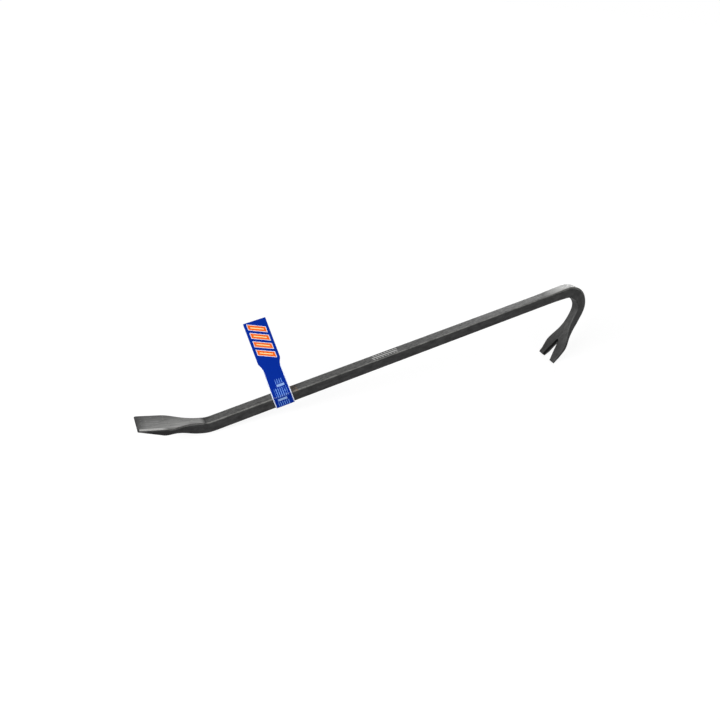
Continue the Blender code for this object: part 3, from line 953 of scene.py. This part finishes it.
def black_oxide_forged_steel():
    """Carbon steel, forged hot, with its black scale oiled: mottled dark grey and satin.

    Use has rubbed it grey on the chisel's top and along its edges. Painted sheen lightens its top face,
    in mottles, and its near edges; a painted highlight lies on the hook's crest, painted light on the
    arm's inner face, and painted shade on the blade's near side and on the top of the chisel bend.
    """
    material, node, shader = new_material("black_oxide_forged_steel")
    place = node("ShaderNodeAttribute", attribute_name="bar_place").outputs["Vector"]
    gap = node("ShaderNodeAttribute", attribute_name="edge_gap").outputs["Fac"]
    along, across, out = node("ShaderNodeSeparateXYZ", (place,)).outputs

    drawn = node("ShaderNodeMapping", {"Vector": place, "Scale": DRAWN_OUT})
    streaked = node("ShaderNodeMapping", {"Vector": place, "Scale": STREAKED})
    patches = node("ShaderNodeTexNoise", {"Vector": drawn, "Scale": 1.0 / PATCH_SIZE, "Detail": 6.0,
                                          "Roughness": 0.68})
    streaks = node("ShaderNodeTexNoise", {"Vector": streaked, "Scale": 1.0 / STREAK_SIZE, "Detail": 3.0})
    grain = node("ShaderNodeTexNoise", {"Vector": place, "Scale": 1.0 / GRAIN_SIZE, "Detail": 3.0})
    scuffs = node("ShaderNodeTexNoise", {"Vector": drawn, "Scale": 1.0 / SCUFF_SIZE, "Detail": 4.0})
    pit_gap = node("ShaderNodeTexVoronoi", {"Vector": place, "Scale": 1.0 / PIT_SPACING})
    pits = node("ShaderNodeMapRange", (pit_gap, 0.06, 0.16, 1.0, 0.0))

    upper = node("ShaderNodeMath", (out, TOP_FACE), operation="GREATER_THAN")
    on_shaft = node("ShaderNodeMapRange", (along, *SHAFT_TOP_START))
    off_arm = node("ShaderNodeMapRange", (along, *SHAFT_TOP_END))
    # Painted sheen, in mottles, that lightens the shaft's top face
    top_sheen_mottle = node("ShaderNodeMapRange", (scuffs, 0.35, 0.65, 0.10, 0.45))
    # Wear spots with painted sheen, along the top's near edge only
    near_band_wear_and_sheen = node("ShaderNodeMapRange", (across, *NEAR_WEAR_AND_SHEEN_BAND, 0.0, 0.35))
    # Painted highlight on the hook's crest, in place of its reflection
    crest_highlight_start = node("ShaderNodeMapRange", (along, *CREST_HIGHLIGHT_START))
    crest_highlight_end = node("ShaderNodeMapRange", (along, *CREST_HIGHLIGHT_END, 0.0, 0.85))
    highlight_off_near_edge = node("ShaderNodeMapRange", (across, *CREST_HIGHLIGHT_NEAR_EDGE))

    # Painted light on the arm's inner face, stopping before the prongs
    inner_face = node("ShaderNodeMapRange", (out, *INNER_FACE))
    on_arm = node("ShaderNodeMapRange", (along, *ARM_LIGHT_START))
    before_prongs = node("ShaderNodeMapRange", (along, *ARM_LIGHT_END, 0.2, 1.0))
    arm_light_mottle = node("ShaderNodeMapRange", (scuffs, 0.35, 0.65, 0.20, 0.45))

    on_chisel = node("ShaderNodeMapRange", (along, *CHISEL_TOP_START))
    behind_tip = node("ShaderNodeMapRange", (along, *CHISEL_TOP_END, 0.1, 1.0))
    off_far_edge = node("ShaderNodeMapRange", (gap, *CHISEL_FAR_EDGE))
    to_near_side = node("ShaderNodeMapRange", (across, *CHISEL_TOP_SIDES, 0.35, 1.25))
    to_neck = node("ShaderNodeMapRange", (along, *NECK_RUB, 0.62, 1.0))
    rubbed_streaks = node("ShaderNodeMapRange", (streaks, 0.30, 0.70, 0.35, 0.90))
    scuffed = node("ShaderNodeMapRange", (scuffs, 0.60, 0.72, 0.0, 0.5))
    # Painted shade on the blade's near side
    on_blade = node("ShaderNodeMapRange", (along, *BLADE_SHADE_START))
    near_side_shade = node("ShaderNodeMapRange", (across, *BLADE_SIDE_SHADE, 0.0, 0.85))

    # Painted shade on the top of the chisel bend, more to its far side
    bend_shade_start = node("ShaderNodeMapRange", (along, *BEND_SHADE_START))
    bend_shade_end = node("ShaderNodeMapRange", (along, *BEND_SHADE_END))
    bend_shade_side = node("ShaderNodeMapRange", (across, *BEND_SHADE_SIDE, 0.0, 0.62))

    edge_reach = node("ShaderNodeMath", (grain, EDGE_RAGGED, gap), operation="MULTIPLY_ADD")
    edge_wear_and_sheen = node("ShaderNodeMapRange", (edge_reach, *EDGE_WEAR))
    wear_and_sheen_breaks = node("ShaderNodeMapRange", (patches, 0.38, 0.56, 0.2, 1.0))
    # Edges: real wear, with painted sheen that makes the near edges brighter
    near_edge_sheen_and_wear = node("ShaderNodeMapRange", (across, *EDGE_SHEEN_AND_WEAR_SIDES, 0.20, 0.85))
    before_arm = node("ShaderNodeMapRange", (along, *EDGE_WEAR_END))
    stain_place = node("ShaderNodeMath", (along, *STAIN), operation="COMPARE")
    stained = node("ShaderNodeMapRange", (scuffs, 0.42, 0.56, 0.0, 0.8))

    slanted = node("ShaderNodeMath", (across, MARK_SLANT, along), operation="MULTIPLY_ADD")
    comb = node("ShaderNodeMath", (slanted, MARK_PITCH / 2.0), operation="PINGPONG")
    half_stroke = MARK_STROKE / 2.0
    stroke = node("ShaderNodeMapRange", (comb, half_stroke, half_stroke + MARK_SOFTNESS, 0.9, 0.0))
    mark_along = node("ShaderNodeMath", (along, *middle_and_half(*MARK_ALONG)), operation="COMPARE")
    mark_across = node("ShaderNodeMath", (across, *middle_and_half(*MARK_ACROSS)), operation="COMPARE")
    mark_rubbed = node("ShaderNodeMapRange", (grain, 0.30, 0.50))

    colour = lay_coats(node, "#242424", (
        ("#3e3e3e", node("ShaderNodeMapRange", (patches, 0.34, 0.66))),
        # painted sheen on the shaft's top face
        ("#7c7c7a", upper, on_shaft, off_arm, top_sheen_mottle),
        # near top edge: wear spots with painted sheen
        ("#8c8c89", upper, on_shaft, off_arm, near_band_wear_and_sheen, wear_and_sheen_breaks),
        # painted light on the arm's inner face
        ("#6e6e6d", inner_face, on_arm, before_prongs, arm_light_mottle),
        # painted highlight on the hook's crest
        ("#cbcbc9", upper, crest_highlight_start, crest_highlight_end, highlight_off_near_edge),
        ("#bcbcba", upper, on_chisel, behind_tip, off_far_edge, to_near_side, to_neck, rubbed_streaks),
        ("#cfcfcb", upper, on_chisel, behind_tip, off_far_edge, scuffed),
        # painted shade on the blade's near side
        ("#171717", on_blade, near_side_shade),
        # painted shade on the top of the chisel bend
        ("#161616", upper, bend_shade_start, bend_shade_end, bend_shade_side),
        # worn edges, with painted sheen on the near ones
        ("#a09f9c", edge_wear_and_sheen, wear_and_sheen_breaks, near_edge_sheen_and_wear, before_arm),
        ("#7d6a58", upper, stain_place, stained),
        ("#dededc", upper, mark_along, mark_across, stroke, mark_rubbed),
        ("#161616", pits, node("ShaderNodeMapRange", (patches, 0.3, 0.7, 0.3, 0.7)))))

    rough = node("ShaderNodeMapRange", (patches, 0.3, 0.7, 0.54, 0.40))
    heights = node("ShaderNodeMath", (pits, -PIT_DEPTH_IN_GRAINS, grain), operation="MULTIPLY_ADD")
    bump = node("ShaderNodeBump", {"Height": heights, "Strength": 1.0, "Distance": GRAIN_DEPTH})
    finish_surface(material, shader, colour, bump, rough)
    shader.inputs["Specular IOR Level"].default_value = 0.15
    return material


def slot_painted_shade_material():
    """The nail slot's walls: matte, with painted shade that makes them near black, lifting to grey at the outer
    face.
    """
    material, node, shader = new_material("nail_slot_painted_shade")
    place = node("ShaderNodeAttribute", attribute_name="bar_place").outputs["Vector"]
    out = node("ShaderNodeSeparateXYZ", (place,)).outputs[2]
    grain = node("ShaderNodeTexNoise", {"Vector": place, "Scale": 1.0 / GRAIN_SIZE, "Detail": 3.0})
    shade_lift_to_outer_face = node("ShaderNodeMapRange", (out, *SLOT_SHADE_LIFT))
    # Painted shade: the slot's walls near black, lifting to grey at the outer face
    colour = lay_coats(node, "#0b0b0b", (
        ("#202020", node("ShaderNodeMapRange", (grain, 0.55, 0.75, 0.0, 0.6))),
        ("#464646", shade_lift_to_outer_face)))
    bump = node("ShaderNodeBump", {"Height": grain, "Strength": 1.0, "Distance": GRAIN_DEPTH})
    finish_surface(material, shader, colour, bump)
    shader.inputs["Roughness"].default_value = 0.7
    shader.inputs["Specular IOR Level"].default_value = 0.1
    return material


def ground_bare_steel():
    """Bare carbon steel, ground on a wheel: bright, with fine scratches across the strip.

    Scale is left near the tip and along the strip's outer border, and past the heel the strip is
    only rubbed. The scratches are 0.05 mm apart and are drawn 0.6 mm, to show.
    """
    material, node, shader = new_material("ground_bare_steel")
    place = node("ShaderNodeAttribute", attribute_name="bar_place").outputs["Vector"]
    along, across, _ = node("ShaderNodeSeparateXYZ", (place,)).outputs
    crosswise = node("ShaderNodeMapping", {"Vector": place, "Scale": CROSSWISE})
    scratches = node("ShaderNodeTexNoise", {"Vector": crosswise, "Scale": 1.0 / SCRATCH_SIZE, "Detail": 2.0})
    grain = node("ShaderNodeTexNoise", {"Vector": place, "Scale": 1.0 / GRAIN_SIZE, "Detail": 3.0})
    border = node("ShaderNodeMath", (grain, BORDER_RAGGED, across), operation="MULTIPLY_ADD")
    off_border = node("ShaderNodeMapRange", (border, *STRIP_BORDER))
    off_tip = node("ShaderNodeMapRange", (along, *STRIP_END))
    off_heel = node("ShaderNodeMapRange", (along, *STRIP_START))
    cleaned = node("ShaderNodeMath", (off_border, off_tip), operation="MULTIPLY")
    bared = node("ShaderNodeMath", (cleaned, off_heel), operation="MULTIPLY")
    colour = lay_coats(node, "#222222", (
        ("#7e7e7c", cleaned),
        ("#929290", bared),
        ("#bcbcba", bared, scratches)))
    bump = node("ShaderNodeBump", {"Height": scratches, "Strength": 0.3, "Distance": SCRATCH_DEPTH})
    finish_surface(material, shader, colour, bump)
    metallic = node("ShaderNodeMath", (bared, 0.8), operation="MULTIPLY")
    material.node_tree.links.new(metallic.outputs[0], shader.inputs["Metallic"])
    shader.inputs["Roughness"].default_value = 0.38
    shader.inputs["Specular IOR Level"].default_value = 0.2
    return material


def printed_card():
    """Coated board, offset printed and die cut: deep flat ink, a faint gloss, white cut edges."""
    material, node, shader = new_material("offset_printed_card")
    place = node("ShaderNodeAttribute", attribute_name="sheet_place").outputs["Vector"]
    rim = node("ShaderNodeAttribute", attribute_name="rim_gap").outputs["Fac"]
    height, across, out = node("ShaderNodeSeparateXYZ", (place,)).outputs
    fibres = node("ShaderNodeTexNoise", {"Vector": place, "Scale": 1.0 / FIBRE_SIZE, "Detail": 2.0})
    outside = node("ShaderNodeMath", (out, -PRINTED_FACE), operation="LESS_THAN")
    margin = node("ShaderNodeMapRange", (height, *MARGIN_END, MARGIN, MARGIN_CLOSED))
    inked = node("ShaderNodeMath", (rim, margin), operation="GREATER_THAN")
    printed = node("ShaderNodeMath", (inked, outside), operation="MULTIPLY")

    slanted = node("ShaderNodeMath", (across, STRIPE_SLANT, height), operation="MULTIPLY_ADD")
    comb = node("ShaderNodeMath", (slanted, STRIPE_PITCH / 2.0), operation="PINGPONG")
    thick = node("ShaderNodeMath", (comb, STRIPE_WIDTH / 2.0), operation="SUBTRACT")
    wide = node("ShaderNodeMath", (across,), operation="ABSOLUTE")
    wide = node("ShaderNodeMath", (wide, STRIPE_LENGTH / 2.0), operation="SUBTRACT")
    edge = node("ShaderNodeMath", (thick, wide), operation="MAXIMUM")
    on_head = node("ShaderNodeMath", (slanted, *middle_and_half(*STRIPES_ALONG)), operation="COMPARE")
    stripe = node("ShaderNodeMath", (edge, 0.0), operation="LESS_THAN")
    keyline = node("ShaderNodeMath", (edge, KEYLINE), operation="LESS_THAN")
    rule = node("ShaderNodeMath", (comb, STRIPE_RULE / 2.0), operation="LESS_THAN")
    rule_length = node("ShaderNodeMath", (wide, -STRIPE_RULE_INSET), operation="LESS_THAN")
    coats = [
        ("#002b97", printed),
        ("#e9e6f0", printed, on_head, keyline),
        ("#f4691c", printed, on_head, stripe),
        ("#ffe9a8", printed, on_head, rule, rule_length)]

    row = node("ShaderNodeMath", (across, ROW_PITCH), operation="SNAP")
    in_row = node("ShaderNodeMath", (across, row), operation="SUBTRACT")
    in_row = node("ShaderNodeMath", (in_row, ROW_THICKNESS), operation="LESS_THAN")
    row_offset = node("ShaderNodeMath", (row, ROW_OFFSET), operation="MULTIPLY")
    dashes_at = node("ShaderNodeCombineXYZ", (height, row_offset))
    dashes = node("ShaderNodeTexNoise", {"Vector": dashes_at, "Scale": 1.0 / ROW_BREAKS, "Detail": 2.0})
    dashes = node("ShaderNodeMapRange", (dashes, 0.33, 0.43, 0.0, 0.80))
    worn_block = node("ShaderNodeMapRange", (fibres, 0.35, 0.60, 0.55, 0.85))
    for tone, areas, masks in (("#7db0ff", ROW_GROUPS, (in_row, dashes)),
                               ("#a9cdff", PALE_BLOCKS, (worn_block,))):
        for low, high, left, right in areas:
            in_height = node("ShaderNodeMath", (height, *middle_and_half(low, high)), operation="COMPARE")
            in_width = node("ShaderNodeMath", (across, *middle_and_half(left, right)), operation="COMPARE")
            coats.append((tone, printed, *masks, in_height, in_width))

    for crease in CREASES:
        away = node("ShaderNodeMath", (height, crease), operation="SUBTRACT")
        away = node("ShaderNodeMath", (away,), operation="ABSOLUTE")
        on_crease = node("ShaderNodeMapRange", (away, *CREASE_RUB, 0.0, 0.5))
        coats.append(("#d5dcea", on_crease, node("ShaderNodeMapRange", (fibres, 0.48, 0.62))))
    at_cut_edge = node("ShaderNodeMapRange", (rim, CUT_EDGE_RUB, 0.0, 0.0, 0.5))
    coats.append(("#dfe4ee", at_cut_edge, node("ShaderNodeMapRange", (fibres, 0.45, 0.60))))
    colour = lay_coats(node, "#e6eeff", coats)
    bump = node("ShaderNodeBump", {"Height": fibres, "Strength": 0.5, "Distance": FIBRE_DEPTH})
    finish_surface(material, shader, colour, bump)
    shader.inputs["Roughness"].default_value = 0.5
    shader.inputs["Specular IOR Level"].default_value = 0.06
    return material


def dried_adhesive():
    """Clear contact adhesive, brushed on and dried to a pale, streaky, matte film."""
    material, node, shader = new_material("dried_clear_adhesive")
    place = node("ShaderNodeTexCoord").outputs["Object"]
    streaks = node("ShaderNodeTexNoise", {"Vector": place, "Scale": 1.0 / BRUSH_STREAK, "Detail": 3.0})
    colour = lay_coats(node, "#d8d2bd", (("#efeada", streaks),))
    bump = node("ShaderNodeBump", {"Height": streaks, "Strength": 0.5, "Distance": BRUSH_DEPTH})
    finish_surface(material, shader, colour, bump)
    shader.inputs["Roughness"].default_value = 0.5
    return material


def seen_rays(node):
    """1 for the rays that show a background: from the camera, off gloss and through glass."""
    rays = node("ShaderNodeLightPath").outputs
    seen = node("ShaderNodeMath", (rays["Is Camera Ray"], rays["Is Glossy Ray"]), operation="MAXIMUM")
    return node("ShaderNodeMath", (seen, rays["Is Transmission Ray"]), operation="MAXIMUM")


def white_sweep():
    """Matte white studio floor: it shows as plain white, and still takes the object's soft shadow."""
    material, node, shader = new_material("matte_white_sweep")
    shader.inputs["Base Color"].default_value = linear("#959595")
    shader.inputs["Roughness"].default_value = 1.0
    shader.inputs["Specular IOR Level"].default_value = 0.0
    away = node("ShaderNodeVectorMath", (node("ShaderNodeTexCoord").outputs["Object"],), operation="LENGTH")
    lift = node("ShaderNodeMapRange", (away.outputs["Value"], *FLOOR_FADE, FLOOR_GLOW, 1.0))
    glow = node("ShaderNodeEmission", {"Color": linear("#ffffff"), "Strength": lift})
    faint = node("ShaderNodeBsdfDiffuse", {"Color": (FLOOR_SHADE, FLOOR_SHADE, FLOOR_SHADE, 1.0)})
    shown = node("ShaderNodeAddShader", (glow, faint))
    picked = node("ShaderNodeMixShader", (seen_rays(node), shader, shown))
    tree = material.node_tree
    tree.links.new(picked.outputs[0], tree.nodes["Material Output"].inputs["Surface"])
    return material


# Studio

def make_floor():
    bpy.ops.mesh.primitive_plane_add(size=FLOOR_SIZE, location=(0.0, 0.0, 0.0))
    floor = bpy.context.object
    floor.name = "studio_floor"
    floor.data.materials.append(white_sweep())


def make_softbox(name, place, size, watts):
    bpy.ops.object.light_add(type="AREA", location=place)
    light = bpy.context.object
    light.name = name
    light.data.shape = "SQUARE"
    light.data.size = size
    light.data.energy = watts
    light.rotation_euler = (SOFTBOX_AIM - Vector(place)).to_track_quat("-Z", "Y").to_euler()


def make_world():
    world = bpy.data.worlds.new("studio")
    bpy.context.scene.world = world
    world.use_nodes = True
    tree = world.node_tree
    background = tree.nodes["Background"]
    background.inputs["Color"].default_value = linear("#ffffff")
    strength = add(tree, "ShaderNodeMapRange", (seen_rays(partial(add, tree)), 0.0, 1.0, ROOM_LIGHT, 1.0))
    tree.links.new(strength.outputs[0], background.inputs["Strength"])


def make_camera():
    bpy.ops.object.camera_add()
    camera = bpy.context.object
    camera.name = "photo_camera"
    camera.data.lens = CAMERA_LENS_MM
    camera.data.sensor_width = CAMERA_SENSOR_MM
    turn = Euler(CAMERA_TURN).to_matrix()
    camera.matrix_world = SHAFT @ Matrix.Translation(CAMERA_PLACE) @ turn.to_4x4()
    bpy.context.scene.camera = camera


make_camera()
make_floor()
make_world()
for softbox in SOFTBOXES:
    make_softbox(*softbox)

bar = make_bar(black_oxide_forged_steel(), ground_bare_steel(), slot_painted_shade_material())
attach(bar, "bar")
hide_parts("forged_bar")

sleeve = make_sleeve()
sleeve.data.materials.append(printed_card())
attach(sleeve, "sleeve")
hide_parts("sleeve_card")

frame["nodes"]["sleeve_adhesive"].material_slots[0].material = dried_adhesive()

bpy.context.scene.view_settings.view_transform = "Standard"
